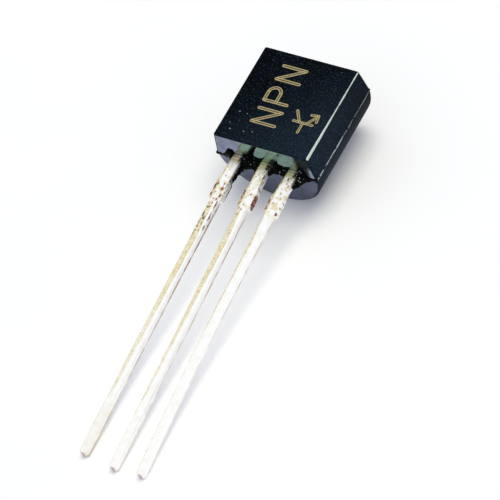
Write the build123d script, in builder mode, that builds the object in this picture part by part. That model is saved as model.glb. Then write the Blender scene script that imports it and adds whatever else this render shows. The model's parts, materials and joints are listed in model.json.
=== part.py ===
from build123d import *
import os
from math import asin, atan2, cos, degrees, hypot, radians, sin, tan

# An npn transistor in a small moulded package with three leads, lying as it comes to rest: marked flat
# up, on the lower edge of its half-round back and on the tips of its leads. Millimetres, +Z up, leads
# towards -Y, origin on the floor under the middle of the whole part.

# Body, in the package's own frame: X across the leads, Y away from them, Z out of the flat
body_width = 4.60
body_length = 4.62
flat_width = 4.29
flat_height = 1.20
back_depth = 2.28
front_draft = 3.0
back_draft = 3.0
edge_round = 0.09
corner_round = 0.12

# Resin flash: the thin fin at the parting line, and the web that it leaves beside and between the leads
fin_reach = 0.03
fin_thickness = 0.05
web_thickness = 0.13

# Broken edge of the web, for each lead from left to right: points beside the lead, each with its distance
# from the lead's middle line and its reach from the body
web_edge = (
    ((-0.42, 0.06), (-0.27, 0.24), (-0.15, 0.46), (0.15, 1.10), (0.27, 1.04), (0.32, 0.70), (0.38, 0.44),
     (0.48, 0.33), (0.66, 0.26)),
    ((-0.46, 0.30), (-0.33, 0.41), (-0.26, 0.53), (-0.15, 0.60), (0.15, 0.42), (0.28, 0.34), (0.38, 0.22),
     (0.62, 0.19)),
    ((-0.48, 0.18), (-0.32, 0.30), (-0.26, 0.48), (-0.15, 0.58), (0.15, 0.62), (0.27, 0.56), (0.42, 0.45),
     (0.53, 0.25), (0.64, 0.15), (0.80, 0.06)),
)

# Marks that moulding leaves: the gate stub on the far end and the ejector pin's recess in the back
gate_width = 1.30
gate_thickness = 0.36
gate_reach = 0.05
ejector_diameter = 1.60
ejector_depth = 0.20

# Leads, stamped from one strip
lead_pitch = 1.27
lead_thickness = 0.36
exit_width = 0.46
thin_width = 0.35
dam_width = 0.56
dam_start = 1.20
dam_length = 0.78
shoulder = 0.12
tip_round = 0.06
emitter_length = 13.65
collector_length = 13.85
base_length = 13.78

# How the leads are bent: down from the package by the bend, and sideways, where each sway is the shift
# at the dam bar, the shift at the tip and the bow between the two
collector_droop = 5.3
bend_distance = 0.55
bend_radius = 1.6
emitter_sway = (-0.02, 0.03, 0.027)
collector_sway = (0.02, 0.23, 0.020)
base_sway = (-0.07, 0.17, 0.120)

# Inner ends of the leads
paddle_width = 1.56
paddle_length = 1.75
paddle_start = 1.30
post_width = 0.70
post_length = 1.05
post_start = 1.45
post_shift = 0.09
lock_radius = 0.14

# Die and its bonds
die_side = 0.55
die_thickness = 0.20
die_distance = 2.35
attach_margin = 0.05
attach_thickness = 0.02
bond_offset = 0.13
wire_diameter = 0.05
ball_diameter = 0.11
ball_height = 0.03
wire_rise = 0.30
wire_bend = 0.14
wire_shoulder = 0.62
wire_slope = 0.80
stitch_length = 0.14
stitch_width = 0.09
stitch_thickness = 0.015
post_bond_distance = 2.00


# Rest: the tilt and height that set the back's rounded edge and the collector's tip on the floor
draft = radians(back_draft)
edge_y = back_depth * tan(draft) + edge_round * (1 - sin(draft)) / cos(draft)
edge_z = edge_round - back_depth
tip_drop = lead_thickness / 2 - tip_round


def run_length(length):
    """Strip from the bend to the middle of the tip's rounded edge."""
    return length - bend_distance - tip_round


droop = radians(collector_droop)
touch_y = -bend_distance - run_length(collector_length) * cos(droop) + tip_drop * sin(droop)
touch_z = -run_length(collector_length) * sin(droop) - tip_drop * cos(droop)
rest_span = hypot(edge_y - touch_y, edge_z - touch_z)
rest_tilt = asin((edge_round - tip_round) / rest_span) - atan2(edge_z - touch_z, edge_y - touch_y)
rest_height = edge_round - sin(rest_tilt) * edge_y - cos(rest_tilt) * edge_z
far_end = (body_length + gate_reach) * cos(rest_tilt) + gate_thickness / 2 * sin(rest_tilt)
near_end = (-bend_distance * cos(rest_tilt)
            - run_length(collector_length) * cos(rest_tilt + droop)
            - tip_drop * sin(rest_tilt + droop) - tip_round)
rest_shift = -(far_end + near_end) / 2

# The package's own planes: seen onto the flat, onto the end with the leads, and from the side
package = Plane(origin=(0, rest_shift, rest_height), x_dir=(1, 0, 0),
                z_dir=(0, -sin(rest_tilt), cos(rest_tilt)))
end_view = Plane(origin=package.origin, x_dir=package.x_dir, z_dir=-package.y_dir)
side_view = Plane(origin=package.origin, x_dir=package.y_dir, z_dir=package.x_dir)
lead_top = lead_thickness / 2
die_top = lead_top + attach_thickness + die_thickness


def lead_droop(length):
    """Angle below the package at which a lead of this length touches the floor with its tip."""
    drop = rest_height - sin(rest_tilt) * bend_distance - tip_round
    reach = hypot(run_length(length), tip_drop)
    return asin(drop / reach) - atan2(tip_drop, run_length(length)) - rest_tilt


def strip_profile(inner_end, length):
    """Side view of a lead: a strip of even thickness with one bend outside the body."""
    fall = lead_droop(length)
    run = length - bend_distance
    half = lead_thickness / 2
    miter = half * tan(fall / 2)
    tip = Vector(-bend_distance - run * cos(fall), -run * sin(fall))
    to_top = Vector(-sin(fall), cos(fall)) * half
    with BuildSketch(side_view.offset(-body_width)) as profile:
        with BuildLine():
            top = FilletPolyline(
                (inner_end, half),
                (-bend_distance - miter, half),
                tip + to_top,
                radius=bend_radius + half,
            )
            bottom = FilletPolyline(
                (inner_end, -half),
                (-bend_distance + miter, -half),
                tip - to_top,
                radius=bend_radius - half,
            )
            Line(top @ 0, bottom @ 0)
            Line(top @ 1, bottom @ 1)
        make_face()
    return profile.sketch


def lead_plan(exit_x, sway, inner_end, length):
    """Plan of a lead: wide at the body, wider at the cut dam bar, then a thin run to the tip."""
    dam_x = exit_x + sway[0]
    tip_x = exit_x + sway[1]
    past_tip = -length - lead_thickness
    dam_end = dam_start + dam_length
    run_start = dam_end + shoulder
    with BuildSketch(package) as plan:
        with BuildLine():
            right = Polyline(
                (exit_x + exit_width / 2, inner_end),
                (exit_x + exit_width / 2, 0),
                (dam_x + exit_width / 2, shoulder - dam_start),
                (dam_x + dam_width / 2, -dam_start),
                (dam_x + dam_width / 2, -dam_end),
                (dam_x + thin_width / 2, -run_start),
            )
            right_run = SagittaArc(right @ 1, (tip_x + thin_width / 2, past_tip), -sway[2])
            left = Polyline(
                (exit_x - exit_width / 2, inner_end),
                (exit_x - exit_width / 2, 0),
                (dam_x - exit_width / 2, shoulder - dam_start),
                (dam_x - dam_width / 2, -dam_start),
                (dam_x - dam_width / 2, -dam_end),
                (dam_x - thin_width / 2, -run_start),
            )
            left_run = SagittaArc(left @ 1, (tip_x - thin_width / 2, past_tip), -sway[2])
            Line(right_run @ 1, left_run @ 1)
            Line(left @ 0, right @ 0)
        make_face()
    return plan.sketch


def round_tip(lead):
    """The four edges of the sheared tip, rounded by the solder coat."""
    tip_face = lead.faces().sort_by(Axis(package.origin, package.y_dir))[0]
    return tip_face.edges()


# Collector lead: the middle one, whose inner end is the paddle under the die
paddle_end = paddle_start + paddle_length
with BuildPart() as collector_lead:
    extrude(lead_plan(0, collector_sway, paddle_start, collector_length),
            amount=body_length, both=True)
    with BuildSketch(package):
        with Locations((0, paddle_start + paddle_length / 2)):
            RectangleRounded(paddle_width, paddle_length, corner_round)
        with Locations((-paddle_width / 2, paddle_end - 2 * lock_radius),
                       (paddle_width / 2, paddle_end - 2 * lock_radius)):
            Circle(lock_radius, mode=Mode.SUBTRACT)
    extrude(amount=body_length, both=True)
    extrude(strip_profile(paddle_end + edge_round, collector_length),
            amount=2 * body_width, mode=Mode.INTERSECT)
    fillet(round_tip(collector_lead), radius=tip_round)
collector_lead.part.label = "collector_lead"


def outer_lead(side, sway, length):
    """Emitter or base lead: side is -1 or 1, and the inner end is the post for the bond wire."""
    exit_x = side * lead_pitch
    post_x = side * (lead_pitch + post_shift)
    post_end = post_start + post_length
    with BuildPart() as lead:
        extrude(lead_plan(exit_x, sway, post_start + lock_radius, length),
                amount=body_length, both=True)
        with BuildSketch(package):
            with Locations((post_x, post_start + post_length / 2)):
                RectangleRounded(post_width, post_length, corner_round)
            with Locations((post_x + side * post_width / 2, post_start + post_length / 2)):
                Circle(lock_radius, mode=Mode.SUBTRACT)
        extrude(amount=body_length, both=True)
        extrude(strip_profile(post_end + edge_round, length),
                amount=2 * body_width, mode=Mode.INTERSECT)
        fillet(round_tip(lead), radius=tip_round)
    return lead


emitter_lead = outer_lead(-1, emitter_sway, emitter_length)
emitter_lead.part.label = "emitter_lead"
base_lead = outer_lead(1, base_sway, base_length)
base_lead.part.label = "base_lead"

# Die attach: a thin pad of conductive adhesive on the paddle, a little wider than the die
with BuildPart() as die_attach:
    with BuildSketch(package.offset(lead_top)):
        with Locations((0, die_distance)):
            RectangleRounded(die_side + 2 * attach_margin, die_side + 2 * attach_margin, attach_margin)
    extrude(amount=attach_thickness)
die_attach.part.label = "die_attach"

# Silicon die
with BuildPart() as silicon_die:
    with BuildSketch(package.offset(lead_top + attach_thickness)):
        with Locations((0, die_distance)):
            Rectangle(die_side, die_side)
    extrude(amount=die_thickness)
silicon_die.part.label = "silicon_die"


def bond_wire(side):
    """Ball on the die, a looped wire, and a flattened stitch on the post."""
    die_point = Vector(side * bond_offset, die_distance)
    post_point = Vector(side * (lead_pitch + post_shift), post_bond_distance)
    span = (post_point - die_point).length
    wire_dir = (post_point - die_point).normalized()
    ball_centre = package.from_local_coords((die_point.X, die_point.Y, die_top))
    along = package.from_local_coords(wire_dir) - package.origin
    loop_plane = Plane(origin=ball_centre, x_dir=along, z_dir=along.cross(package.z_dir))
    with BuildPart() as wire:
        with BuildLine(loop_plane) as loop:
            FilletPolyline(
                (0, ball_height / 2),
                (0, wire_rise),
                (span * wire_shoulder, wire_rise * wire_slope),
                (span, lead_top - die_top),
                radius=wire_bend,
            )
        with BuildSketch(Plane(origin=loop.wire() @ 0, z_dir=package.z_dir)):
            Circle(wire_diameter / 2)
        sweep(path=loop.wire())
        with BuildSketch(package.offset(die_top)):
            with Locations((die_point.X, die_point.Y)):
                Circle(ball_diameter / 2)
        extrude(amount=ball_height)
        split(bisect_by=package.offset(lead_top), keep=Keep.TOP)
        with BuildSketch(package.offset(lead_top)):
            with Locations(Location((post_point.X, post_point.Y), degrees(atan2(wire_dir.Y, wire_dir.X)))):
                Ellipse(stitch_length / 2, stitch_width / 2)
        extrude(amount=stitch_thickness)
    return wire


emitter_bond_wire = bond_wire(-1)
emitter_bond_wire.part.label = "emitter_bond_wire"
base_bond_wire = bond_wire(1)
base_bond_wire.part.label = "base_bond_wire"


def web_outline():
    """Plan of the web of flash: its broken edge from left to right, then back inside the body."""
    points = [(-body_width / 2, -fin_reach)]
    for lead_x, beside in zip((-lead_pitch, 0, lead_pitch), web_edge):
        for distance, reach in beside:
            points.append((lead_x + distance, -reach))
    points += [(body_width / 2, -fin_reach), (body_width / 2, corner_round), (-body_width / 2, corner_round)]
    return points


def off_parting_plane(half):
    """The edges of one half of the body, apart from those where the two halves meet."""
    return half.edges().filter_by(
        lambda edge: abs(package.to_local_coords(edge.center()).Z) > fin_thickness
    )


# Body: a drafted front half and a half-round back, joined at the parting plane and closed round all
# that the body holds
front_rise = flat_height * tan(radians(front_draft))
back_rise = back_depth * tan(radians(back_draft))
inner_pieces = [
    emitter_lead, collector_lead, base_lead, die_attach, silicon_die, emitter_bond_wire, base_bond_wire,
]
with BuildPart() as back_half:
    with BuildSketch(end_view):
        with BuildLine():
            ThreePointArc((body_width / 2, 0), (0, -back_depth), (-body_width / 2, 0))
            Line((-body_width / 2, 0), (body_width / 2, 0))
        make_face()
    extrude(amount=-body_length)
    with BuildSketch(side_view.offset(-body_width)):
        with BuildLine():
            Polyline(
                (0, 0),
                (body_length, 0),
                (body_length - back_rise, -back_depth),
                (back_rise, -back_depth),
                close=True,
            )
        make_face()
    extrude(amount=2 * body_width, mode=Mode.INTERSECT)
    fillet(off_parting_plane(back_half), radius=edge_round)
    with BuildSketch(package.offset(-back_depth)):
        with Locations((0, body_length / 2)):
            Circle(ejector_diameter / 2)
    extrude(amount=ejector_depth, mode=Mode.SUBTRACT)

with BuildPart() as moulded_body:
    with BuildSketch(end_view):
        with BuildLine():
            Polyline(
                (-body_width / 2, 0),
                (-flat_width / 2, flat_height),
                (flat_width / 2, flat_height),
                (body_width / 2, 0),
                close=True,
            )
        make_face()
    extrude(amount=-body_length)
    with BuildSketch(side_view.offset(-body_width)):
        with BuildLine():
            Polyline(
                (0, 0),
                (front_rise, flat_height),
                (body_length - front_rise, flat_height),
                (body_length, 0),
                close=True,
            )
        make_face()
    extrude(amount=2 * body_width, mode=Mode.INTERSECT)
    fillet(off_parting_plane(moulded_body), radius=edge_round)
    add(back_half.part)

    # Fin of flash all round the parting line, and the gate stub on the far end
    with BuildSketch(package):
        with Locations((0, body_length / 2)):
            RectangleRounded(body_width + 2 * fin_reach, body_length + 2 * fin_reach, corner_round)
    extrude(amount=fin_thickness / 2, both=True)
    with BuildSketch(end_view.offset(-body_length - gate_reach)):
        Rectangle(gate_width, gate_thickness)
    extrude(amount=gate_reach + corner_round)

    # Web of flash beside and between the leads, broken off unevenly
    with BuildSketch(package):
        with BuildLine():
            Polyline(*web_outline(), close=True)
        make_face()
    extrude(amount=web_thickness / 2, both=True)
    for piece in inner_pieces:
        add(piece.part, mode=Mode.SUBTRACT)
moulded_body.part.label = "moulded_body"

os.makedirs("parts", exist_ok=True)
for piece in [moulded_body] + inner_pieces:
    export_step(piece.part, f"parts/{piece.part.label}.step")
print("tilt at rest, degrees:", round(degrees(rest_tilt), 3))
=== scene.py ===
import json
from collections import namedtuple
from math import cos, exp, hypot, pi, radians, sin, sqrt

import bmesh
import bpy
from mathutils import Matrix, Vector, noise


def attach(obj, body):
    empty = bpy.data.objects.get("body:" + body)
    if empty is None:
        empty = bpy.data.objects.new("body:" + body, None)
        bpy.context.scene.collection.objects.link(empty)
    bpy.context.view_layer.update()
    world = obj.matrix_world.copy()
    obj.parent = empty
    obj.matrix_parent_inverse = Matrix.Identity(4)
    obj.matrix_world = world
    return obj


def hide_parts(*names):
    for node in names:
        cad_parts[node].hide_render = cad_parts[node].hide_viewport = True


# An npn transistor lying on white paper: a black moulded package with an etched flat, and three leads
# dipped in solder. Meshes are shaped in the package's own frame, in millimetres, where X runs across the
# leads, Y away from them and Z out of the flat, and are then put into the part's frame, in metres.

MM = 0.001
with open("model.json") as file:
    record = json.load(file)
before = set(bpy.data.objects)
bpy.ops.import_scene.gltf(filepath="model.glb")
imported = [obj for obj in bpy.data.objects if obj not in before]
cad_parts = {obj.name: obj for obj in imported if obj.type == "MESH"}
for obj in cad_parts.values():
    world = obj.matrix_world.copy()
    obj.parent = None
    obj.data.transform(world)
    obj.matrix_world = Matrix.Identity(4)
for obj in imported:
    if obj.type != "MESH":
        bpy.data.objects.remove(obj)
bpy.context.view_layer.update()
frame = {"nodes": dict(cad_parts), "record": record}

# Sizes of the package that the dressing is fitted to, in millimetres
BODY_WIDTH = 4.60
BODY_LENGTH = 4.62
FLAT_HEIGHT = 1.20
FIN_THICKNESS = 0.05
GATE_WIDTH = 1.30
LEAD_HALF_WIDTH = 0.175
LEAD_HALF_THICKNESS = 0.18

# The package frame, from the flat that the record gives as a mount
flat_mount = next(m for m in frame["record"]["mounts"] if m["name"] == "front_flat")
flat_normal = Vector(flat_mount["axis"])
lengthwise = Vector((0, flat_normal.z, -flat_normal.y))
package_origin = (Vector(flat_mount["pos_m"]) - lengthwise * BODY_LENGTH / 2 * MM
                  - flat_normal * FLAT_HEIGHT * MM)
package_turn = Matrix((Vector((1, 0, 0)), lengthwise, flat_normal)).transposed()
PACKAGE = Matrix.Translation(package_origin) @ package_turn.to_4x4() @ Matrix.Scale(MM, 4)


# Materials

# Patterns lie in the package's frame, in millimetres, so a noise of scale 1 / size has patches about as
# large as that size. The names ending in size are such sizes.
COLOUR = {"data_type": "RGBA"}
SMOOTH = {"interpolation_type": "SMOOTHSTEP"}
PRODUCT = {"operation": "MULTIPLY"}


def srgb(hex_colour):
    """Linear colour, with alpha, of an sRGB hex value such as "1a2b3c"."""
    values = [int(hex_colour[i:i + 2], 16) / 255 for i in (0, 2, 4)]
    return tuple(v / 12.92 if v <= 0.04045 else ((v + 0.055) / 1.055) ** 2.4 for v in values) + (1,)


def add_node(tree, kind, settings=None, inputs=None):
    """A node with its settings. Each input is set to a value, or linked to a socket or to the first output
    in use of another node."""
    node = tree.nodes.new(kind)
    for name, value in (settings or {}).items():
        setattr(node, name, value)
    for key, value in (inputs or {}).items():
        if isinstance(key, int):
            socket = node.inputs[key]
        else:
            socket = next(s for s in node.inputs if s.name == key and s.enabled)
        if isinstance(value, bpy.types.Node):
            value = next(s for s in value.outputs if s.enabled)
        if isinstance(value, bpy.types.NodeSocket):
            tree.links.new(value, socket)
        else:
            socket.default_value = value
    return node


def make_material(finish):
    """A material with the name of the finish, a function that fills its node tree and gives the shader."""
    material = bpy.data.materials.new(finish.__name__)
    material.use_nodes = True
    material.node_tree.nodes.clear()
    shader = finish(material.node_tree)
    add_node(material.node_tree, "ShaderNodeOutputMaterial", inputs={"Surface": shader})
    return material


def package_place(tree):
    """Object coordinates turned into the package's frame, in millimetres."""
    to_package = PACKAGE.inverted()
    return add_node(tree, "ShaderNodeMapping", inputs={
        "Vector": add_node(tree, "ShaderNodeTexCoord").outputs["Object"],
        "Location": to_package.translation,
        "Rotation": package_turn.inverted().to_euler(),
        "Scale": (1 / MM, 1 / MM, 1 / MM),
    })


def moulded_epoxy(tree):
    """Filled epoxy from a spark-eroded mould: near black with a cold tint, and a fine even grain that
    takes the gloss away. A painted reflection lightens it in clouds towards the right of the lead end,
    and a painted highlight lies along the right arris as a pale line, wider at that end. The grain is
    drawn coarser than the real one, so that it shows."""
    place = package_place(tree)
    axes = add_node(tree, "ShaderNodeSeparateXYZ", inputs={"Vector": place})
    grain, cloud, edge_noise = [
        add_node(tree, "ShaderNodeTexNoise", inputs={"Vector": place, "Scale": 1 / size, "Detail": detail})
        for size, detail in ((0.07, 3.0), (0.9, 2.0), (0.25, 2.0))]

    # Painted reflection: the flat is lightened from the far left to the near right, in clouds
    slope = add_node(tree, "ShaderNodeMath", {"operation": "MULTIPLY_ADD"}, {
        0: axes.outputs["Y"], 1: -1.0, 2: axes.outputs["X"]})
    cloud_strength = 0.4
    painted_reflection_ramp = add_node(tree, "ShaderNodeMapRange", SMOOTH, {
        "Value": slope, "From Min": -4.2, "From Max": 1.5, "To Min": -0.15, "To Max": 0.65})
    painted_reflection_share = add_node(tree, "ShaderNodeMath", {"operation": "MULTIPLY_ADD"}, {
        0: cloud, 1: cloud_strength, 2: painted_reflection_ramp})
    base = add_node(tree, "ShaderNodeMix", COLOUR, {
        "Factor": painted_reflection_share, "A": srgb("02050a"), "B": srgb("1c2935")})
    light_grain = add_node(tree, "ShaderNodeMapRange", SMOOTH, {
        "Value": grain, "From Min": 0.55, "From Max": 0.72, "To Min": 0.0, "To Max": 0.8})
    dark_grain = add_node(tree, "ShaderNodeMapRange", SMOOTH, {
        "Value": grain, "From Min": 0.30, "From Max": 0.48, "To Min": 0.8, "To Max": 0.0})
    lighter = add_node(tree, "ShaderNodeMix", COLOUR, {
        "Factor": light_grain, "A": base, "B": srgb("34424c")})
    grained = add_node(tree, "ShaderNodeMix", COLOUR, {
        "Factor": dark_grain, "A": lighter, "B": srgb("010204")})

    # Painted highlight along the arris, the edge between the flat and the right side, where X + Z is greatest
    arris = 3.303
    highlight_width_near_leads = 0.039
    highlight_width_at_far_end = 0.014
    highlight_wander = 0.016
    across_edge = add_node(tree, "ShaderNodeMath", {"operation": "ADD"}, {
        0: axes.outputs["X"], 1: axes.outputs["Z"]})
    edge_start = add_node(tree, "ShaderNodeMapRange", inputs={
        "Value": axes.outputs["Y"], "From Min": 0.0, "From Max": 2.4,
        "To Min": arris - highlight_width_near_leads, "To Max": arris - highlight_width_at_far_end})
    uneven_start = add_node(tree, "ShaderNodeMath", {"operation": "MULTIPLY_ADD"}, {
        0: edge_noise, 1: highlight_wander, 2: edge_start})
    past_start = add_node(tree, "ShaderNodeMath", {"operation": "SUBTRACT"}, {
        0: across_edge, 1: uneven_start})
    painted_highlight = add_node(tree, "ShaderNodeMapRange", SMOOTH, {
        "Value": past_start, "From Min": -0.003, "From Max": 0.004})
    with_painted_highlight = add_node(tree, "ShaderNodeMix", COLOUR, {
        "Factor": painted_highlight, "A": grained, "B": srgb("cddad0")})

    # Parting line on the right: short runs of the fin are paler, partly scuffed and partly a painted
    # highlight where the fin catches light, more so near the leads
    at_fin = add_node(tree, "ShaderNodeMapRange", SMOOTH, {
        "Value": add_node(tree, "ShaderNodeMath", {"operation": "ABSOLUTE"}, {0: axes.outputs["Z"]}),
        "From Min": 0.022, "From Max": 0.034, "To Min": 1.0, "To Max": 0.0})
    out_there = add_node(tree, "ShaderNodeMapRange", SMOOTH, {
        "Value": axes.outputs["X"], "From Min": BODY_WIDTH / 2 - 0.005, "From Max": BODY_WIDTH / 2 + 0.005})
    in_runs = add_node(tree, "ShaderNodeMapRange", SMOOTH, {
        "Value": edge_noise, "From Min": 0.38, "From Max": 0.48})
    near_leads = add_node(tree, "ShaderNodeMapRange", SMOOTH, {
        "Value": axes.outputs["Y"], "From Min": 1.9, "From Max": 2.4, "To Min": 0.9, "To Max": 0.3})
    scuffs_and_painted_highlight = add_node(tree, "ShaderNodeMath", PRODUCT, {
        0: add_node(tree, "ShaderNodeMath", PRODUCT, {0: at_fin, 1: out_there}),
        1: add_node(tree, "ShaderNodeMath", PRODUCT, {0: in_runs, 1: near_leads})})
    fin_scuffs_and_highlight = add_node(tree, "ShaderNodeMix", COLOUR, {
        "Factor": scuffs_and_painted_highlight, "A": with_painted_highlight, "B": srgb("c9cdcb")})

    roughness = add_node(tree, "ShaderNodeMapRange", inputs={
        "Value": grain, "From Min": 0.3, "From Max": 0.7, "To Min": 0.45, "To Max": 0.65})
    bump = add_node(tree, "ShaderNodeBump", inputs={
        "Height": grain, "Strength": 0.35, "Distance": 0.008 * MM})

    # The eroded grain scatters the gloss, so the specular level is next to none
    return add_node(tree, "ShaderNodeBsdfPrincipled", inputs={
        "Base Color": fin_scuffs_and_highlight, "Roughness": roughness, "Specular IOR Level": 0.02, "Normal": bump})


def polished_epoxy(tree):
    """The same resin against the polished end of the mould: a dark mirror that shows the paper and the
    leads, under a thin film of release wax, lavender at the sides and greener in the middle. Painted
    shade darkens the mirror a little on the round lobe below, and nearly all of it right of the leads."""
    place = package_place(tree)
    axes = add_node(tree, "ShaderNodeSeparateXYZ", inputs={"Vector": place})
    haze, grain = [
        add_node(tree, "ShaderNodeTexNoise", inputs={"Vector": place, "Scale": 1 / size, "Detail": detail})
        for size, detail in ((0.35, 3.0), (0.05, 2.0))]

    # Zones: each changes smoothly from one value to another between two places on an axis
    zones = {
        "inward": ("X", -1.3, -0.7, 0.0, 1.0),
        "outward": ("X", 1.0, 2.2, 1.0, 0.4),
        "upper": ("Z", -0.2, 0.2, 0.0, 1.0),
        "below": ("Z", -0.1, 0.1, 0.25, 0.0),
        "shade start": ("X", 1.35, 1.60, 0.0, 1.0),
        "beyond": ("X", 1.95, 2.10, 0.0, 1.0),
        "low down": ("Z", 0.45, 0.75, 1.0, 0.0),
    }
    zone = {}
    for name, (axis, start, end, first, last) in zones.items():
        zone[name] = add_node(tree, "ShaderNodeMapRange", SMOOTH, {
            "Value": axes.outputs[axis], "From Min": start, "From Max": end, "To Min": first, "To Max": last})

    # Film: greener in the middle of the upper part, and hazed in patches
    between = add_node(tree, "ShaderNodeMath", PRODUCT, {0: zone["inward"], 1: zone["outward"]})
    green_zone = add_node(tree, "ShaderNodeMath", PRODUCT, {0: between, 1: zone["upper"]})
    film = add_node(tree, "ShaderNodeMix", COLOUR, {
        "Factor": green_zone, "A": srgb("d4deff"), "B": srgb("c8f4e0")})
    hazed_film = add_node(tree, "ShaderNodeMix", COLOUR, {
        "Factor": add_node(tree, "ShaderNodeMapRange", SMOOTH, {
            "Value": haze, "From Min": 0.40, "From Max": 0.70, "To Min": 0.0, "To Max": 0.45}),
        "A": film, "B": srgb("a0a5b8")})

    # Painted shade on the mirror: a little on the lobe below, and nearly all right of the leads, but for a
    # clear patch low down beside the corner
    shade_share = 0.92
    clear_patch = add_node(tree, "ShaderNodeMath", PRODUCT, {0: zone["beyond"], 1: zone["low down"]})
    shaded_upper = add_node(tree, "ShaderNodeMath", {"operation": "SUBTRACT"}, {
        0: zone["upper"], 1: clear_patch})
    shaded_upper_share = add_node(tree, "ShaderNodeMath", PRODUCT, {0: shaded_upper, 1: shade_share})
    right_painted_shade = add_node(tree, "ShaderNodeMath", {"operation": "MULTIPLY", "use_clamp": True}, {
        0: zone["shade start"], 1: shaded_upper_share})
    painted_shade = add_node(tree, "ShaderNodeMath", {"operation": "MAXIMUM"}, {0: zone["below"], 1: right_painted_shade})
    shaded_film = add_node(tree, "ShaderNodeMix", COLOUR, {
        "Factor": painted_shade, "A": hazed_film, "B": srgb("14161c")})

    resin = add_node(tree, "ShaderNodeMix", COLOUR, {
        "Factor": grain, "A": srgb("030405"), "B": srgb("0a0c10")})
    roughness = add_node(tree, "ShaderNodeMapRange", inputs={
        "Value": haze, "From Min": 0.3, "From Max": 0.7, "To Min": 0.04, "To Max": 0.09})
    bump = add_node(tree, "ShaderNodeBump", inputs={
        "Height": grain, "Strength": 0.12, "Distance": 0.003 * MM})

    # The IOR is raised from a resin's 1.55 until the mirror is as bright as the real one
    return add_node(tree, "ShaderNodeBsdfPrincipled", inputs={
        "Base Color": resin, "Roughness": roughness, "Normal": bump,
        "IOR": 2.4, "Specular IOR Level": 1.0, "Specular Tint": shaded_film})


def broken_epoxy(tree):
    """Flash that broke off when the leads were cut free: coal black and crumbly, with pale specks of silica
    painted bright as glints of light.
    """
    place = package_place(tree)
    crumb_size = 0.10
    silica_size = 0.09
    crumbs = add_node(tree, "ShaderNodeTexNoise", inputs={
        "Vector": place, "Scale": 1 / crumb_size, "Detail": 4.0})

    # Painted glints: pale specks at the middles of a few cells, picked by the cells' random colours
    cells = add_node(tree, "ShaderNodeTexVoronoi", inputs={"Vector": place, "Scale": 1 / silica_size})
    near_centre = add_node(tree, "ShaderNodeMapRange", SMOOTH, {
        "Value": cells.outputs["Distance"],
        "From Min": 0.22, "From Max": 0.38, "To Min": 1.0, "To Max": 0.0})
    picked = add_node(tree, "ShaderNodeMapRange", SMOOTH, {
        "Value": add_node(tree, "ShaderNodeSeparateColor", inputs={"Color": cells.outputs["Color"]}),
        "From Min": 0.74, "From Max": 0.80})
    painted_glint = add_node(tree, "ShaderNodeMath", PRODUCT, {0: near_centre, 1: picked})
    base = add_node(tree, "ShaderNodeMix", COLOUR, {
        "Factor": add_node(tree, "ShaderNodeMapRange", SMOOTH, {
            "Value": crumbs, "From Min": 0.45, "From Max": 0.70}),
        "A": srgb("030405"), "B": srgb("171b1b")})
    with_painted_glints = add_node(tree, "ShaderNodeMix", COLOUR, {
        "Factor": painted_glint, "A": base, "B": srgb("a3ab9d")})
    bump = add_node(tree, "ShaderNodeBump", inputs={
        "Height": crumbs, "Strength": 0.8, "Distance": 0.03 * MM})
    return add_node(tree, "ShaderNodeBsdfPrincipled", inputs={
        "Base Color": with_painted_glints, "Roughness": 0.8, "Specular IOR Level": 0.05, "Normal": bump})


def silica_grain(tree):
    """Coarse grains of filler that stand out of the resin: milky grey, matt and a little cloudy."""
    cloud_size = 0.03
    cloud = add_node(tree, "ShaderNodeTexNoise", inputs={
        "Vector": package_place(tree), "Scale": 1 / cloud_size})
    colour = add_node(tree, "ShaderNodeMix", COLOUR, {
        "Factor": cloud, "A": srgb("7d888c"), "B": srgb("c2cacb")})
    return add_node(tree, "ShaderNodeBsdfPrincipled", inputs={
        "Base Color": colour, "Roughness": 0.6, "Specular IOR Level": 0.3})


# What a lead's coat shows besides silver: the attributes that say how much of each there is
COAT_LAYERS = ("straw", "copper", "crumbs")


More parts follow.
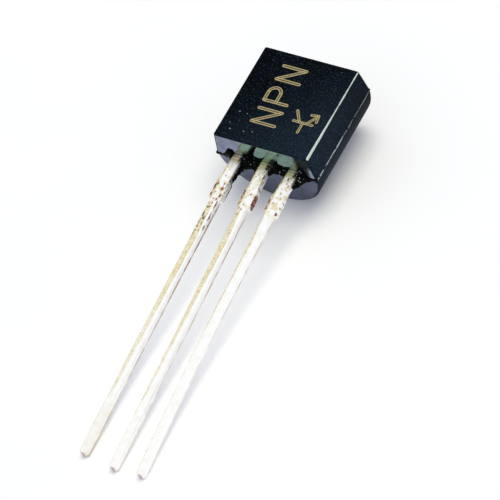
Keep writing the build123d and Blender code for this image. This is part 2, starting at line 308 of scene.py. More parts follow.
def solder_dip(tree):
    """Solder drawn thin over copper alloy: silvery white with a soft gloss and faint dapples. The piece's
    own attributes say where the coat is thin and straw yellow, where it broke at the sheared dam bars
    and shows rust-red copper, and where crumbs of resin stuck to it."""
    place = package_place(tree)
    straw, copper, crumbs = [
        add_node(tree, "ShaderNodeAttribute", {"attribute_name": layer}).outputs["Fac"]
        for layer in COAT_LAYERS]
    pits, dapple = [
        add_node(tree, "ShaderNodeTexNoise", inputs={"Vector": place, "Scale": 1 / size, "Detail": 3.0})
        for size in (0.09, 0.28)]
    silver, straw_tone, copper_tone = [
        add_node(tree, "ShaderNodeMix", COLOUR, {
            "Factor": add_node(tree, "ShaderNodeMapRange", SMOOTH, {
                "Value": pattern, "From Min": low, "From Max": high}),
            "A": srgb(tone_below), "B": srgb(tone_above)})
        for pattern, low, high, tone_below, tone_above in (
            (dapple, 0.42, 0.70, "ffffff", "faf9f4"),
            (pits, 0.40, 0.62, "efe2bd", "d6cc9d"),
            (pits, 0.42, 0.58, "b07a58", "6b2413"))]
    straw_light = add_node(tree, "ShaderNodeMix", COLOUR, {
        "Factor": add_node(tree, "ShaderNodeMapRange", SMOOTH, {
            "Value": straw, "From Min": 0.0, "From Max": 0.6}),
        "A": silver, "B": straw_tone})
    straw_dark = add_node(tree, "ShaderNodeMix", COLOUR, {
        "Factor": add_node(tree, "ShaderNodeMapRange", SMOOTH, {
            "Value": straw, "From Min": 0.6, "From Max": 1.0}),
        "A": straw_light, "B": srgb("97825a")})
    coppered = add_node(tree, "ShaderNodeMix", COLOUR, {
        "Factor": copper, "A": straw_dark, "B": copper_tone})
    crumbed = add_node(tree, "ShaderNodeMix", COLOUR, {
        "Factor": crumbs, "A": coppered, "B": srgb("0f0d0b")})
    metal = add_node(tree, "ShaderNodeMapRange", inputs={
        "Value": crumbs, "To Min": 0.8, "To Max": 0.0})
    roughness = add_node(tree, "ShaderNodeMapRange", inputs={
        "Value": dapple, "From Min": 0.3, "From Max": 0.7, "To Min": 0.36, "To Max": 0.50})
    bump = add_node(tree, "ShaderNodeBump", inputs={
        "Height": pits, "Strength": 0.2, "Distance": 0.008 * MM})
    return add_node(tree, "ShaderNodeBsdfPrincipled", inputs={
        "Base Color": crumbed, "Metallic": metal, "Roughness": roughness, "Normal": bump})


def laser_scorch(tree):
    """Resin scorched by a laser: matt straw-coloured lines, pale along both rims, where the melt piled up,
    and dark brown in the middle, where it burned."""
    char_size = 0.08
    char_strength = 0.9
    rim = add_node(tree, "ShaderNodeAttribute", {"attribute_name": "rim"}).outputs["Fac"]
    char = add_node(tree, "ShaderNodeTexNoise", inputs={
        "Vector": package_place(tree), "Scale": 1 / char_size, "Detail": 3.0})
    patchy = add_node(tree, "ShaderNodeMath", {"operation": "MULTIPLY_ADD"}, {
        0: char, 1: char_strength, 2: -char_strength / 2})
    share = add_node(tree, "ShaderNodeMath", {"operation": "ADD", "use_clamp": True}, {0: rim, 1: patchy})
    colour = add_node(tree, "ShaderNodeMix", COLOUR, {
        "Factor": share, "A": srgb("453a28"), "B": srgb("c0b184")})
    bump = add_node(tree, "ShaderNodeBump", inputs={
        "Height": char, "Strength": 0.5, "Distance": 0.01 * MM})
    return add_node(tree, "ShaderNodeBsdfPrincipled", inputs={
        "Base Color": colour, "Roughness": 0.7, "Specular IOR Level": 0.1, "Normal": bump})


def silver_filled_adhesive(tree):
    """Epoxy paste full of silver flakes: dull grey with fine bright flecks."""
    flake_size = 0.02
    flakes = add_node(tree, "ShaderNodeTexVoronoi", inputs={
        "Vector": package_place(tree), "Scale": 1 / flake_size})
    colour = add_node(tree, "ShaderNodeMix", COLOUR, {
        "Factor": flakes.outputs["Distance"], "A": srgb("b4b6b8"), "B": srgb("85878a")})
    return add_node(tree, "ShaderNodeBsdfPrincipled", inputs={
        "Base Color": colour, "Metallic": 0.5, "Roughness": 0.55})


def polished_silicon(tree):
    """Silicon with a passivated top: a dark blue-grey gloss that shifts a little in tone."""
    film_size = 0.3
    film = add_node(tree, "ShaderNodeTexNoise", inputs={
        "Vector": package_place(tree), "Scale": 1 / film_size})
    colour = add_node(tree, "ShaderNodeMix", COLOUR, {
        "Factor": film, "A": srgb("333a47"), "B": srgb("4a5064")})
    return add_node(tree, "ShaderNodeBsdfPrincipled", inputs={
        "Base Color": colour, "Roughness": 0.12, "IOR": 2.0})


def drawn_gold(tree):
    """Fine gold wire from a drawing die: bright, with faint streaks in its tone."""
    streak_size = 0.04
    streaks = add_node(tree, "ShaderNodeTexNoise", inputs={
        "Vector": package_place(tree), "Scale": 1 / streak_size, "Detail": 2.0})
    colour = add_node(tree, "ShaderNodeMix", COLOUR, {
        "Factor": streaks, "A": srgb("c79a3c"), "B": srgb("e0bb62")})
    return add_node(tree, "ShaderNodeBsdfPrincipled", inputs={
        "Base Color": colour, "Metallic": 1.0, "Roughness": 0.25})


# Meshes

# Distances in millimetres below which points are one, and at which a point is on a plane
SAME_POINT = 0.0004
ON_PLANE = 0.0001


def add_object(name, data):
    """A new object in the scene."""
    thing = bpy.data.objects.new(name, data)
    bpy.context.scene.collection.objects.link(thing)
    return thing


def show_piece(name, mesh, slot, *materials):
    """A finished piece: its mesh goes from the package's frame into the part's, with its materials."""
    mesh.transform(PACKAGE)
    piece = add_object(name, mesh)
    for material in materials:
        mesh.materials.append(material)
    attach(piece, "root")
    return piece


def opened(mesh):
    """A bmesh of a mesh."""
    work = bmesh.new()
    work.from_mesh(mesh)
    work.normal_update()
    return work


def closed(work, mesh):
    """The mesh, rewritten from a bmesh that is then freed."""
    work.to_mesh(mesh)
    work.free()
    return mesh


def merged_copy(node):
    """A copy of a node's mesh in the package's frame, and a bmesh of it with the loose triangles
    joined."""
    mesh = frame["nodes"][node].data.copy()
    mesh.materials.clear()
    mesh.transform(PACKAGE.inverted())
    work = opened(mesh)
    bmesh.ops.remove_doubles(work, verts=work.verts, dist=SAME_POINT)
    return work, mesh


def cut_at_end_face(work, **cleared_side):
    """Cut a bmesh in the plane of the end face that the leads leave, and clear one side of it."""
    geometry = work.verts[:] + work.edges[:] + work.faces[:]
    bmesh.ops.bisect_plane(work, geom=geometry, dist=ON_PLANE, plane_co=(0, 0, 0),
                           plane_no=(0, -1, 0), **cleared_side)


def extrude(work, edges, shift):
    """Draw edges out into faces, as far as the shift."""
    drawn = bmesh.ops.extrude_edge_only(work, edges=edges)
    moved = [item for item in drawn["geom"] if isinstance(item, bmesh.types.BMVert)]
    bmesh.ops.translate(work, verts=moved, vec=shift)


def rims(work):
    """Edges round the holes of a bmesh."""
    return [edge for edge in work.edges if edge.is_boundary]


def soften(mesh, angle):
    """Smooth shading, but for edges sharper than the angle in degrees."""
    mesh.shade_smooth()
    mesh.set_sharp_from_angle(angle=radians(angle))


def remeshed(mesh, cell, smoothing):
    """The mesh rebuilt as an even skin of small cells, with its edges softened."""
    thing = add_object("thing", mesh)
    skin = thing.modifiers.new("skin", "REMESH")
    skin.mode = "VOXEL"
    skin.voxel_size = cell
    flow = thing.modifiers.new("flow", "SMOOTH")
    flow.iterations = smoothing
    skinned = bpy.data.meshes.new_from_object(thing.evaluated_get(bpy.context.evaluated_depsgraph_get()))
    bpy.data.objects.remove(thing)
    return skinned


def smooth_step(low, high, value):
    """A smooth rise from 0 to 1 as value goes from low to high."""
    share = min(max((value - low) / (high - low), 0), 1)
    return share * share * (3 - 2 * share)


def ridge(value, middle, width):
    """A smooth hump that is 1 where value is at the middle, and next to 0 two widths from it."""
    return exp(-((value - middle) / width) ** 2)


def uneven(waves, point, offset=Vector((0, 0, 0))):
    """Random waves added up at a point. Each has its height, and how many go into a millimetre."""
    return sum(height * noise.noise(point * per_millimetre + offset) for height, per_millimetre in waves)


# The moulded body: the node's own shape, with the web cut off at its root, since the web has a piece of
# its own, and the fin at the parting line chipped unevenly. A point counts as outside a wall once it is
# proud of it.
PROUD = 0.01
CHIP_SPACING = 0.05
CORNER_CHIP = 0.30
BODY_CREASE = 32

# The faces of the polished end: how far from it they may lie, and how squarely they face along it
END_FACE_DEPTH = 0.16
END_FACE_TURN = 0.98

# The share of the fin that is left: on the whole, its waves, and its least and most
FIN_LEFT = 0.55
FIN_WAVES = [(0.7, 2.3), (0.5, 9.0)]
FIN_LEAST = 0.05
FIN_MOST = 0.98


def past_walls(vert):
    """How far a vertex is outside the body's nearer side, and past its far end."""
    return abs(vert.co.x) - BODY_WIDTH / 2, vert.co.y - BODY_LENGTH


def on_fin(vert):
    """Whether a vertex is on the outer wall of the fin, which the gate interrupts."""
    past_side, past_end = past_walls(vert)
    at_gate = abs(vert.co.x) < GATE_WIDTH / 2 + PROUD
    return abs(vert.co.z) < FIN_THICKNESS and (past_side > PROUD or past_end > PROUD and not at_gate)


def chip_fin(work):
    """Divide the fin's outer wall finely and push its points in by uneven amounts."""
    wall = [edge for edge in work.edges if all(on_fin(vert) for vert in edge.verts)]
    cuts = max(int(max(edge.calc_length() for edge in wall) / CHIP_SPACING), 1)
    long_edges = [edge for edge in wall if edge.calc_length() > 10 * CHIP_SPACING]
    bmesh.ops.subdivide_edges(work, edges=long_edges, cuts=cuts)
    for vert in work.verts:
        if on_fin(vert):
            past_side, past_end = past_walls(vert)
            near_corner = min(past_side, past_end) + CORNER_CHIP
            kept = FIN_LEFT + uneven(FIN_WAVES, Vector((vert.co.x, vert.co.y, 0)))
            kept -= smooth_step(0, CORNER_CHIP, near_corner)
            kept = min(max(kept, FIN_LEAST), FIN_MOST)
            if past_side > 0:
                vert.co.x -= past_side * (1 - kept) * (1 if vert.co.x > 0 else -1)
            if past_end > 0:
                vert.co.y -= past_end * (1 - kept)


def moulded_body():
    """The body without its web. Its end face has the second material, which is polished."""
    work, mesh = merged_copy("moulded_body")
    cut_at_end_face(work, clear_outer=True)
    bmesh.ops.holes_fill(work, edges=rims(work), sides=0)
    bmesh.ops.triangulate(work, faces=[face for face in work.faces if len(face.verts) > 4])
    chip_fin(work)
    work.normal_update()
    for face in work.faces:
        at_end = face.calc_center_median().y < END_FACE_DEPTH
        face.material_index = int(at_end and face.normal.y < -END_FACE_TURN)
    soften(closed(work, mesh), BODY_CREASE)
    return mesh


# The web of flash beside the leads: the part of the body's node that stands out of its end, rebuilt as
# crumbly broken resin and rooted a little way inside the end face. It sags more away from that face,
# between the two distances of WEB_SAG_REACH.
WEB_ROOT = 0.06
WEB_CELL = 0.016
WEB_CRUMBS = [(0.030, 5.0), (0.030, 13.0), (0.014, 34.0)]
WEB_SAG = 0.07
WEB_SAG_REACH = (0.15, 0.45)
WEB_LEFT_LIMIT = -2.32

# Lumps heaped against the end face: middle across, half width and height of each, the shares of the half
# width between which they slope, the places away from the leads between which they rise, and how far a
# surface has to face up to carry them
WEB_LUMPS = [(-1.50, 0.48, 0.36), (-0.90, 0.20, 0.24), (0.46, 0.20, 0.28), (1.68, 0.26, 0.30)]
LUMP_SLOPE = (0.3, 1.0)
LUMP_RISE = (-0.16, -0.04)
LUMP_FACING = (-0.2, 0.6)


def broken_web():
    """The web, with crumbs all over, sagging, and with lumps against the end face."""
    work, mesh = merged_copy("moulded_body")
    cut_at_end_face(work, clear_inner=True)
    extrude(work, rims(work), (0, WEB_ROOT, 0))
    bmesh.ops.holes_fill(work, edges=rims(work), sides=0)
    bmesh.ops.recalc_face_normals(work, faces=work.faces)
    crumbly = remeshed(closed(work, mesh), WEB_CELL, smoothing=2)
    work = opened(crumbly)
    for vert in work.verts:
        sag = WEB_SAG * smooth_step(*WEB_SAG_REACH, -vert.co.y)
        heap = max(height * (1 - smooth_step(*LUMP_SLOPE, abs(vert.co.x - middle) / half_width))
                   for middle, half_width, height in WEB_LUMPS)
        heap *= smooth_step(*LUMP_RISE, vert.co.y) * smooth_step(*LUMP_FACING, vert.normal.z)
        vert.co += vert.normal * uneven(WEB_CRUMBS, vert.co) + Vector((0, 0, heap - sag))
        vert.co.x = max(vert.co.x, WEB_LEFT_LIMIT)
    closed(work, crumbly).shade_smooth()
    return crumbly


# Leads with their solder coat: an even skin over the stamped strip, softened at its edges. Each vertex
# knows how far along the lead it is, in millimetres from the body, and how far across and up it is, in
# half widths and half thicknesses of the thin run. Each lead's noise is shifted, so that no two are alike.
SKIN_CELL = 0.026
SKIN_SINK = 0.003
SLICE = 0.1
TIP_BLUNT = 0.55
NOISE_STEPS = (7.3, 3.1, 0)

# The coat is lumpy near the body, and less so beyond
SKIN_LUMPS = [(0.009, 4.0), (0.004, 11.0)]
LUMPY_LENGTH = 3
RUN_LUMPS = 0.35

# Straw-coloured band on the left of each lead's top: places along the lead, each with the band's right
# limit there
STRAW_BAND = {
    "emitter_lead": [(1.9, 0.1), (4.0, 0.55), (8.0, 0.10), (10.8, -0.25), (11.6, -1.3), (13.0, -1.3)],
    "collector_lead": [(1.9, -0.2), (3.6, 0.35), (7.0, -0.10), (10.6, -0.40), (11.6, -1.3),
                       (13.0, -1.3)],
    "base_lead": [(1.9, -0.9), (3.3, -0.45), (7.0, -0.75), (10.0, -1.1), (13.0, -1.3)],
}

# Stains: what shows, then its middle along, across and up the lead, and its half sizes the same way. Their
# edges are ragged, and soft between two shares of the half size.
STAIN_RAGGED = [(0.4, 16.0)]
STAIN_EDGE = (0.7, 1.2)
STAINS = {
    "emitter_lead": [
        ("crumbs", 1.35, 1.35, 0.6, 0.4, 0.18, 0.5),
        ("crumbs", 0.95, 1.35, -0.9, 0.95, 0.6, 0.6),
        ("crumbs", 0.05, 1.05, 0.0, 0.36, 0.45, 1.6),
        ("crumbs", 1.46, -1.5, 0.6, 0.12, 0.5, 1.0),
        ("copper", 1.58, -1.5, 0.5, 0.12, 0.5, 1.0),
        ("copper", 1.86, -1.5, 0.6, 0.1, 0.4, 0.9),
        ("copper", 1.55, 0.75, 1.0, 0.1, 0.35, 0.3),
        ("copper", 1.85, 0.95, 1.0, 0.1, 0.3, 0.3),
        ("copper", 2.05, 0.55, 1.0, 0.06, 0.2, 0.3),
        ("crumbs", 2.45, -0.55, 1.0, 0.05, 0.2, 0.3),
        ("crumbs", 2.75, -0.65, 1.0, 0.09, 0.18, 0.3),
        ("copper", 2.95, -0.35, 1.0, 0.06, 0.18, 0.3),
        ("crumbs", 3.15, -0.75, 1.0, 0.07, 0.15, 0.3),
        ("copper", 2.3, 1.0, 0.9, 0.22, 0.12, 0.3),
        ("copper", 2.85, 1.0, 0.9, 0.2, 0.1, 0.3),
        ("copper", 3.35, 1.0, 0.9, 0.12, 0.1, 0.3),
    ],
    "collector_lead": [
        ("crumbs", 0.05, 0.95, 0.0, 0.38, 0.6, 1.7),
        ("copper", 0.65, 1.3, 1.0, 0.12, 0.15, 0.3),
        ("crumbs", 0.62, 1.35, 0.9, 0.08, 0.1, 0.2),
        ("copper", 1.46, -1.5, 0.7, 0.12, 0.45, 0.9),
        ("copper", 1.68, -1.5, 0.8, 0.1, 0.4, 0.8),
        ("crumbs", 1.38, -1.5, 0.8, 0.05, 0.35, 0.8),
        ("copper", 1.66, 1.65, 0.0, 0.34, 0.35, 1.1),
        ("crumbs", 1.5, 1.65, 0.6, 0.1, 0.2, 0.3),
        ("crumbs", 1.92, 1.65, -0.2, 0.06, 0.2, 0.6),
        ("copper", 1.45, 0.5, 1.0, 0.05, 0.15, 0.2),
        ("copper", 2.15, -0.2, 1.0, 0.06, 0.15, 0.2),
    ],
    "base_lead": [
        ("crumbs", 0.05, 0.95, 0.0, 0.38, 0.65, 1.7),
        ("copper", 0.4, 0.1, 1.0, 0.08, 0.22, 0.2),
        ("copper", 0.62, 0.4, 1.0, 0.05, 0.15, 0.2),
        ("copper", 1.52, -1.5, 0.8, 0.14, 0.4, 0.8),
        ("copper", 1.78, -1.5, 0.8, 0.12, 0.35, 0.8),
        ("copper", 1.1, 0.3, 1.0, 0.05, 0.12, 0.2),
        ("copper", 1.95, 1.5, 0.7, 0.07, 0.25, 0.4),
    ],
}

# Specks round the sheared dam bars: what shows, from where to where along the lead, and how thickly. They
# are the peaks of a fine noise, and the thicker they lie, the lower the level that counts as a peak.
SPECK_LEVEL = 0.50
SPECK_LEVEL_DROP = 0.25
SPECK_SOFTNESS = 0.10
SPECK_SHIFT = 3
SPECKS = {
    "emitter_lead": [("crumbs", 0.4, 1.1, 0.1), ("copper", 1.2, 2.3, 0.6), ("straw", 2.1, 3.9, 1.6),
                     ("crumbs", 2.2, 3.4, 0.4)],
    "collector_lead": [("crumbs", 0.3, 0.9, 0.15), ("copper", 1.2, 2.2, 0.3), ("straw", 2.0, 3.4, 0.8)],
    "base_lead": [("copper", 0.25, 0.9, 0.6), ("copper", 1.2, 2.0, 0.1)],
}
SPECKS_PER_MM = {"straw": 7.0, "copper": 12.0, "crumbs": 12.0}
SPECK_TONE = {"straw": 0.85, "copper": 1.0, "crumbs": 0.8}

# Straw on the top: its tone inside the band and along its edge, how that edge lies and wanders, and how
# the band is mottled and fades towards the tip
BAND_TONE = 0.52
BAND_EDGE_TONE = 0.28
BAND_EDGE_INSET = 0.06
BAND_EDGE_WIDTH = 0.10
BAND_SOFTNESS = 0.08
BAND_WANDER = 0.14
BAND_WAVES_PER_MM = 1.4
BAND_MIDTONE = 0.9
BAND_MOTTLE = [(0.35, 5.0)]
BAND_FADED = 0.35

# Straw where a lead leaves the resin: two rings, each with its middle along the lead, width and tone, and
# an even tone between them. The stub beyond is cream in patches.
EXIT_RINGS = [(0.07, 0.03, 1.0), (0.20, 0.025, 0.8)]
EXIT_TONE = 0.62
STUB_TONE = 0.16
STUB_PATCHES = [(0.50, 6.0)]

# The coat is thinnest on the stamped corners: how much straw shows along the upper left one, and how much
# copper along the lower right one of each lead, in dashes that fade towards the tip
CORNER_TINT = 0.7
EDGE_TINT = {"emitter_lead": 0.85, "collector_lead": 0.55, "base_lead": 0.40}
EDGE_FADED = 0.45
DASHES_PER_MM = 2.2
DASH_LEVELS = (-0.5, 0.2)
GAP_TONE = 0.5

# The sheared end of each tip shows copper, and the coat of its last stretch is a little cream
END_TINT = 0.55
TIP_CREAM = {"emitter_lead": 0.16, "collector_lead": 0.03, "base_lead": 0.03}

# Pairs of places between which a change is smooth: along a lead, in millimetres, the last two of them
# before its tip
EXIT_END = (0.20, 0.42)
STUB_END = (1.9, 2.4)
BAND_FADE = (5.0, 9.0)
EDGE_FADE = (5.0, 8.0)
CREAM_START = (2.6, 2.0)
SHEARED_START = (0.05, 0.01)

# The same up a lead and across it, in its half sizes, and for how far the band reaches before its edge
# shows
TOP = (0.2, 0.6)
CORNER_TOP = (0.05, 0.5)
LOW_SIDE = (-0.40, -0.05)
LEFT_CORNER = (-0.95, -0.75)
RIGHT_CORNER = (0.70, 0.90)
BAND_START = (-1.2, -0.9)

# A place on a lead's coat: the lead with its length and its own shift of the noise, how far along, across
# and up the place is, and its point in the package's frame
Place = namedtuple("Place", "node length offset along across up point")


def band_limit(points, along):
    """The band's right limit at a place along the lead, on straight lines between the points."""
    for (start, first), (end, last) in zip(points, points[1:]):
        if along <= end:
            return first + (last - first) * max(along - start, 0) / (end - start)
    return points[-1][1]


def straw_band(place):
    """How much of a place is inside the straw band, and how much on the band's edge."""
    waves = noise.noise(Vector((0, place.point.y * BAND_WAVES_PER_MM, 0)) + place.offset)
    limit = band_limit(STRAW_BAND[place.node], place.along) + BAND_WANDER * waves
    inside = 1 - smooth_step(limit - BAND_SOFTNESS, limit + BAND_SOFTNESS, place.across)
    on_edge = ridge(place.across, limit - BAND_EDGE_INSET, BAND_EDGE_WIDTH)
    return inside, on_edge * smooth_step(*BAND_START, limit)


def before_tip(place, reach):
    """A smooth rise between two distances before the lead's tip."""
    far, near = reach
    return smooth_step(place.length - far, place.length - near, place.along)


def straw_at(place, inside, on_edge):
    """Straw colour where the coat is thin: in the band, where the lead leaves the resin, in patches of
    the stub, on the upper left corner and near the tip."""
    past_stub = smooth_step(*STUB_END, place.along)
    on_top = smooth_step(*TOP, place.up)
    mottle = BAND_MIDTONE + uneven(BAND_MOTTLE, place.point, place.offset)
    faded = 1 - BAND_FADED * smooth_step(*BAND_FADE, place.along)
    band = on_top * mottle * faded * (BAND_TONE * inside + BAND_EDGE_TONE * on_edge) * past_stub
    rings = max(tone * ridge(place.along, middle, width) for middle, width, tone in EXIT_RINGS)
    at_exit = on_top * max(rings, EXIT_TONE * (1 - smooth_step(*EXIT_END, place.along)))
    stub = (STUB_TONE + uneven(STUB_PATCHES, place.point, place.offset)) * (1 - past_stub)
    left_corner = (1 - smooth_step(*LEFT_CORNER, place.across)) * smooth_step(*CORNER_TOP, place.up)
    cream = TIP_CREAM[place.node] * before_tip(place, CREAM_START)
    return max(band, at_exit, stub, CORNER_TINT * left_corner, cream)


def copper_at(place):
    """Bare copper: dashes along the lower right corner, fainter towards the tip, and the sheared end."""
    low_edge = smooth_step(*RIGHT_CORNER, place.across) * (1 - smooth_step(*LOW_SIDE, place.up))
    waves = noise.noise(Vector((place.point.y * DASHES_PER_MM, 0, 0)) + place.offset)
    dashes = GAP_TONE + (1 - GAP_TONE) * smooth_step(*DASH_LEVELS, waves)
    tint = EDGE_TINT[place.node] * (1 - EDGE_FADED * smooth_step(*EDGE_FADE, place.along))
    edge = tint * low_edge * dashes * smooth_step(*STUB_END, place.along)
    return max(edge, END_TINT * before_tip(place, SHEARED_START))


def paint_lead(place):
    """Amounts of straw colour, bare copper and crumbs at a place on a lead's coat, by name."""
    inside, on_edge = straw_band(place)
    amounts = {"straw": straw_at(place, inside, on_edge), "copper": copper_at(place), "crumbs": 0}
    for kind, start, end, density in SPECKS[place.node]:
        if start < place.along < end:
            speck = noise.noise(place.point * SPECKS_PER_MM[kind] + place.offset * SPECK_SHIFT)
            level = SPECK_LEVEL - SPECK_LEVEL_DROP * density
            amount = SPECK_TONE[kind] * smooth_step(level, level + SPECK_SOFTNESS, speck)
            amounts[kind] = max(amounts[kind], amount * inside if kind == "straw" else amount)
    for kind, middle, across, up, half_length, half_width, half_height in STAINS[place.node]:
        if abs(place.along - middle) < 2 * half_length:
            away = hypot((place.along - middle) / half_length, (place.across - across) / half_width,
                         (place.up - up) / half_height)
            away += uneven(STAIN_RAGGED, place.point, place.offset)
            amounts[kind] = max(amounts[kind], 1 - smooth_step(*STAIN_EDGE, away))
    amounts["straw"] = min(amounts["straw"], 1)
    return amounts


def slice_middles(work):
    """The middle of each slice of a lead, across and up, by the slice's number."""
    slices = {}
    for vert in work.verts:
        slices.setdefault(round(vert.co.y / SLICE), []).append(vert.co.copy())
    middles = {}
    for number, points in slices.items():
        middles[number] = ((min(p.x for p in points) + max(p.x for p in points)) / 2,
                           (min(p.z for p in points) + max(p.z for p in points)) / 2)
    return middles


def coated_lead(node, seed):
    """A lead in its coat: painted, a little lumpy, rounded at the tip and kept above the floor."""
    coated = remeshed(closed(*merged_copy(node)), SKIN_CELL, smoothing=4)
    up_direction = (PACKAGE.to_3x3().inverted() @ Vector((0, 0, 1))).normalized()
    floor_point = PACKAGE.inverted() @ Vector((0, 0, 0))
    offset = Vector([seed * step for step in NOISE_STEPS])
    work = opened(coated)
    middles = slice_middles(work)
    tip = min(vert.co.y for vert in work.verts)
    layers = {name: work.verts.layers.float.new(name) for name in COAT_LAYERS}
    for vert in work.verts:
        middle_x, middle_z = middles[round(vert.co.y / SLICE)]
        along = -vert.co.y
        if along > 0:
            across = (vert.co.x - middle_x) / LEAD_HALF_WIDTH
            up = (vert.co.z - middle_z) / LEAD_HALF_THICKNESS
            amounts = paint_lead(Place(node, -tip, offset, along, across, up, vert.co))
            for name, layer in layers.items():
                vert[layer] = amounts[name]
        lumpy = 1 if along < LUMPY_LENGTH else RUN_LUMPS
        vert.co += vert.normal * (lumpy * uneven(SKIN_LUMPS, vert.co, offset) - SKIN_SINK)
        past_round = (along + tip + LEAD_HALF_WIDTH) / LEAD_HALF_WIDTH
        if past_round > 0:
            narrowed = sqrt(max(1 - past_round ** 2, TIP_BLUNT ** 2))
            vert.co.x = middle_x + (vert.co.x - middle_x) * narrowed
        vert.co.y = max(vert.co.y, tip)
        below = (floor_point - vert.co).dot(up_direction)
        if below > 0:
            vert.co += up_direction * below
    closed(work, coated).shade_smooth()
    return coated


# Etched marks on the flat: the letters of the type and its symbol. Each stroke is a shallow line with a
# raised rim on either side.
STROKE_WIDTH = 0.15
SYMBOL_STROKE = 0.12
RIM_HEIGHT = 0.004
LAYER_STEP = 0.0005
CAP_STEPS = 8
ARC_STEPS = 24
MARK_CREASE = 40

# Half the profile of a stroke, from its middle out: each place across in half widths, its height in rim
# heights, and how pale it is
HALF_SECTION = [(0.0, 0.4, 0.0), (0.25, 0.5, 0.15), (0.6, 1.0, 1.0), (0.9, 0.8, 0.8), (1.0, -2.0, 0.3)]
STROKE_SECTION = [(-across, height, pale) for across, height, pale in HALF_SECTION[:0:-1]] + HALF_SECTION


class Etching:
    """A set of strokes on the flat, in places given across and away from the leads."""

    def __init__(self):
        self.work = bmesh.new()
        self.rim = self.work.verts.layers.float.new("rim")
        self.strokes = 0

    def section(self, centre, side, width, profile=STROKE_SECTION):
        """The profile of a stroke, or half of it, set across its line. Each stroke lies a little higher
        than the one before."""
        lift = self.strokes * LAYER_STEP
        row = []
        for across, height, pale in profile:
            place = centre + side * width / 2 * across
            vert = self.work.verts.new(place + Vector((0, 0, FLAT_HEIGHT + height * RIM_HEIGHT + lift)))
            vert[self.rim] = pale
            row.append(vert)
        return row, [self.work.edges.new(pair) for pair in zip(row, row[1:])]

    def cap(self, centre, side, width):
        """A round end: half the profile, turned by half a turn."""
        row, edges = self.section(centre, side, width, HALF_SECTION)
        bmesh.ops.spin(self.work, geom=row + edges, cent=centre, axis=(0, 0, 1), angle=pi,
                       steps=CAP_STEPS, dvec=(0, 0, 0), use_merge=False)

    def line(self, start, end, width=STROKE_WIDTH):
        """A straight stroke with round ends."""
        start = Vector((*start, 0))
        end = Vector((*end, 0))
        heading = (end - start).normalized()
        side = Vector((-heading.y, heading.x, 0))
        self.cap(start, side, width)
        self.cap(end, -side, width)
        row, edges = self.section(start, side, width)
        extrude(self.work, edges, end - start)
        self.strokes += 1

    def arc(self, centre, start, angle, width=STROKE_WIDTH):
        """A curved stroke from start, turning about the centre, with no ends of its own."""
        centre = Vector((*centre, 0))
        start = Vector((*start, 0))
        side = (start - centre).normalized()
        row, edges = self.section(start, side, width)
        bmesh.ops.spin(self.work, geom=row + edges, cent=centre, axis=(0, 0, 1), angle=angle,
                       steps=ARC_STEPS, dvec=(0, 0, 0), use_merge=False)
        self.strokes += 1

    def mesh(self, name):
        """The finished strokes as one mesh."""
        bmesh.ops.remove_doubles(self.work, verts=self.work.verts, dist=SAME_POINT / 2)
        for face in self.work.faces:
            if face.normal.z < 0:
                face.normal_flip()
        mesh = closed(self.work, bpy.data.meshes.new(name))
        soften(mesh, MARK_CREASE)
        return mesh


# The letters read away from the leads, with their tops to the left
LETTER_TOP = -0.93
LETTER_HEIGHT = 1.04
LETTER_WIDTH = 0.66
LETTER_PITCH = 1.06
LETTERS_START = 1.12
BOWL_RADIUS = 0.27

# The symbol beside them: a bar with three legs, one with an arrow. Its strokes run between places
# measured from its middle.
SYMBOL_MIDDLE = Vector((1.14, 1.62))
SYMBOL_STROKES = [
    ((0.42, 0.0), (-0.42, 0.0)),
    ((0.0, -0.46), (0.0, 0.0)),
    ((-0.16, 0.0), (-0.48, 0.48)),
    ((0.16, 0.0), (0.48, 0.48)),
    ((0.48, 0.48), (0.18, 0.44)),
    ((0.48, 0.48), (0.52, 0.18)),
]


def etched_mark():
    """The letters N, P and N, and the symbol."""
    etching = Etching()
    foot = LETTER_TOP + LETTER_HEIGHT
    for letter in (0, 2):
        start = LETTERS_START + letter * LETTER_PITCH
        end = start + LETTER_WIDTH
        etching.line((LETTER_TOP, start), (foot, start))
        etching.line((LETTER_TOP, start), (foot, end))
        etching.line((foot, end), (LETTER_TOP, end))
    start = LETTERS_START + LETTER_PITCH
    turn = start + LETTER_WIDTH - BOWL_RADIUS
    bowl_foot = LETTER_TOP + 2 * BOWL_RADIUS
    etching.line((foot, start), (LETTER_TOP, start))
    etching.line((LETTER_TOP, start), (LETTER_TOP, turn))
    etching.line((bowl_foot, start), (bowl_foot, turn))
    etching.arc((LETTER_TOP + BOWL_RADIUS, turn), (LETTER_TOP, turn), -pi)

    for start, end in SYMBOL_STROKES:
        etching.line(SYMBOL_MIDDLE + Vector(start), SYMBOL_MIDDLE + Vector(end), SYMBOL_STROKE)
    return etching.mesh("etched_mark")


# Coarse grains of filler in the flat: their places, with their sizes. Each is a flattened knobbly ball.
GRAINS = [((-1.60, 1.38), 0.024), ((-1.26, 1.36), 0.018), ((-1.60, 0.51), 0.026), ((-1.76, 0.80), 0.018),
          ((-0.99, 0.55), 0.022), ((-0.64, 0.63), 0.020), ((1.52, 4.28), 0.014), ((-1.42, 0.95), 0.012)]
GRAIN_FORM = (1.2, 0.9, 0.4, 1)
GRAIN_KNOBS = [(0.4, 30)]


def filler_grains():
    """The grains, half sunk in the flat."""
    work = bmesh.new()
    for number, (place, radius) in enumerate(GRAINS):
        centre = Vector((*place, FLAT_HEIGHT))
        form = Matrix.Translation(centre) @ Matrix.Diagonal(GRAIN_FORM)
        grain = bmesh.ops.create_icosphere(work, subdivisions=2, radius=radius, matrix=form)
        for vert in grain["verts"]:
            vert.co += (vert.co - centre) * uneven(GRAIN_KNOBS, vert.co, Vector((number, 0, 0)))
    return closed(work, bpy.data.meshes.new("filler_grains"))


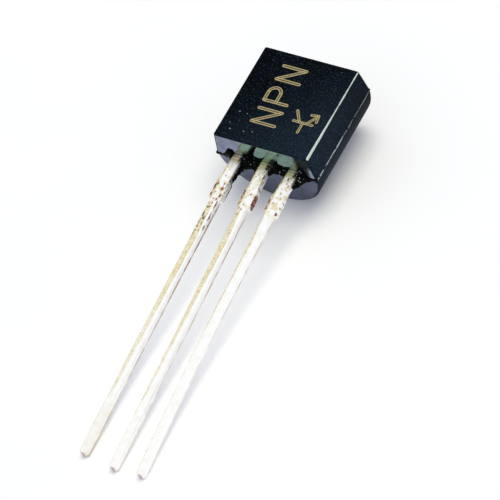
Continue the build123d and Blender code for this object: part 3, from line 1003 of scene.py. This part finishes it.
body = show_piece("moulded_body_worn", moulded_body(), "moulding_compound",
                  make_material(moulded_epoxy), make_material(polished_epoxy))
body.modifiers.new("flat_faces", "WEIGHTED_NORMAL").keep_sharp = True
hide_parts("moulded_body")
show_piece("broken_web", broken_web(), "moulding_compound", make_material(broken_epoxy))
show_piece("filler_grains", filler_grains(), "moulding_compound", make_material(silica_grain))
show_piece("etched_mark", etched_mark(), "moulding_compound", make_material(laser_scorch))

solder = make_material(solder_dip)
for seed, node in enumerate(STAINS, start=1):
    lead = show_piece(node + "_coated", coated_lead(node, seed), "tinned_lead", solder)
    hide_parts(node)

# Pieces that the resin closes in keep their nodes and get their own finish
gold = make_material(drawn_gold)
INSIDE = {
    "die_attach": make_material(silver_filled_adhesive),
    "silicon_die": make_material(polished_silicon),
    "emitter_bond_wire": gold,
    "base_bond_wire": gold,
}
for node, material in INSIDE.items():
    mesh = frame["nodes"][node].data
    mesh.materials.clear()
    mesh.materials.append(material)


# White paper under the part, wide enough for any view. What the camera and glossy surfaces see of it is
# lifted a little, so that open paper is white and keeps the shadows. From here on lengths are in metres.
PAPER_RADIUS = 1.5
PAPER_LIFT = 0.08
MOTTLE_SIZE = 6 * MM


def seen_by_eye(tree):
    """1 for what the camera sees, also mirrored in a gloss, and 0 for what only lights other things."""
    ray = add_node(tree, "ShaderNodeLightPath")
    return add_node(tree, "ShaderNodeMath", {"operation": "MAXIMUM"}, {
        0: ray.outputs["Is Camera Ray"], 1: ray.outputs["Is Glossy Ray"]})


def coated_paper(tree):
    """Matt coated paper, white and even, with the faintest mottle."""
    place = add_node(tree, "ShaderNodeTexCoord").outputs["Object"]
    mottle = add_node(tree, "ShaderNodeTexNoise", inputs={"Vector": place, "Scale": 1 / MOTTLE_SIZE})
    colour = add_node(tree, "ShaderNodeMix", COLOUR, {
        "Factor": mottle, "A": srgb("fcfcfc"), "B": srgb("ffffff")})
    paper = add_node(tree, "ShaderNodeBsdfDiffuse", inputs={"Color": colour})
    strength = add_node(tree, "ShaderNodeMath", PRODUCT, {
        0: seen_by_eye(tree), 1: PAPER_LIFT})
    lift = add_node(tree, "ShaderNodeEmission", inputs={"Strength": strength})
    return add_node(tree, "ShaderNodeAddShader", inputs={0: paper, 1: lift})


def lay_paper():
    """The sheet of paper, as the stage."""
    work = bmesh.new()
    bmesh.ops.create_circle(work, cap_ends=True, segments=96, radius=PAPER_RADIUS)
    mesh = closed(work, bpy.data.meshes.new("paper"))
    mesh.materials.append(make_material(coated_paper))
    paper = add_object("paper", mesh)


lay_paper()

# Light: a pale cool sky all round, and one large soft lamp nearly overhead, a little to the right and
# beyond the part. Together they light a level surface plainly. The lamp is warm, so that open paper is
# neutral and the shadows are cool. Glossy surfaces mirror the white surroundings and not the lamp.
SKY_LEVEL = 0.56
SKY_COLOUR = srgb("e2eaff")
LAMP_LEVEL = 0.58
LAMP_COLOUR = srgb("fffae6")[:3]
LAMP_DIRECTION = Vector((0.18, 0.15, 1.0)).normalized()
LAMP_DISTANCE = 0.6
LAMP_SIZE = 0.45


def light_sky():
    """The sky, which is white to the camera and in reflections."""
    world = bpy.data.worlds.new("sky")
    world.use_nodes = True
    bpy.context.scene.world = world
    tree = world.node_tree
    tree.nodes.clear()
    seen = seen_by_eye(tree)
    level = add_node(tree, "ShaderNodeMapRange", inputs={
        "Value": seen, "To Min": SKY_LEVEL, "To Max": 1.0})
    colour = add_node(tree, "ShaderNodeMix", COLOUR, {
        "Factor": seen, "A": SKY_COLOUR, "B": srgb("ffffff")})
    background = add_node(tree, "ShaderNodeBackground", inputs={"Color": colour, "Strength": level})
    add_node(tree, "ShaderNodeOutputWorld", inputs={"Surface": background})


def hang_lamp():
    """The lamp, which no glossy surface mirrors."""
    data = bpy.data.lights.new("soft_lamp", "AREA")
    data.shape = "DISK"
    data.size = LAMP_SIZE
    data.color = LAMP_COLOUR
    data.energy = LAMP_LEVEL * (pi * LAMP_DISTANCE) ** 2 / LAMP_DIRECTION.z
    lamp = add_object("soft_lamp", data)
    lamp.visible_glossy = False
    lamp.location = LAMP_DIRECTION * LAMP_DISTANCE
    lamp.rotation_euler = LAMP_DIRECTION.to_track_quat("Z", "Y").to_euler()


light_sky()
hang_lamp()

# Camera: a long lens from the lead end's right, rolled so that the leads run down to the left
CAMERA_PLACE = Vector((72.418, -70.130, 117.947)) * MM
CAMERA_AZIMUTH = 45.1
CAMERA_ELEVATION = 49.09
CAMERA_ROLL = 20.63
LENS = 286.8
SENSOR_WIDTH = 36
NEAREST_SEEN = 10 * MM
FURTHEST_SEEN = 10


def aim_camera():
    """The camera, turned from level by its azimuth, elevation and roll."""
    azimuth = radians(CAMERA_AZIMUTH)
    elevation = radians(CAMERA_ELEVATION)
    roll = radians(CAMERA_ROLL)
    forward = Vector((-sin(azimuth) * cos(elevation), cos(azimuth) * cos(elevation), -sin(elevation)))
    level_right = Vector((cos(azimuth), sin(azimuth), 0))
    level_up = level_right.cross(forward)
    right = level_right * cos(roll) - level_up * sin(roll)
    axes = Matrix((right, right.cross(forward), -forward)).transposed()

    data = bpy.data.cameras.new("camera")
    data.lens = LENS
    data.sensor_width = SENSOR_WIDTH
    data.clip_start = NEAREST_SEEN
    data.clip_end = FURTHEST_SEEN
    camera = add_object("camera", data)
    camera.matrix_world = Matrix.Translation(CAMERA_PLACE) @ axes.to_4x4()
    bpy.context.scene.camera = camera


aim_camera()

bpy.context.scene.view_settings.view_transform = "Standard"
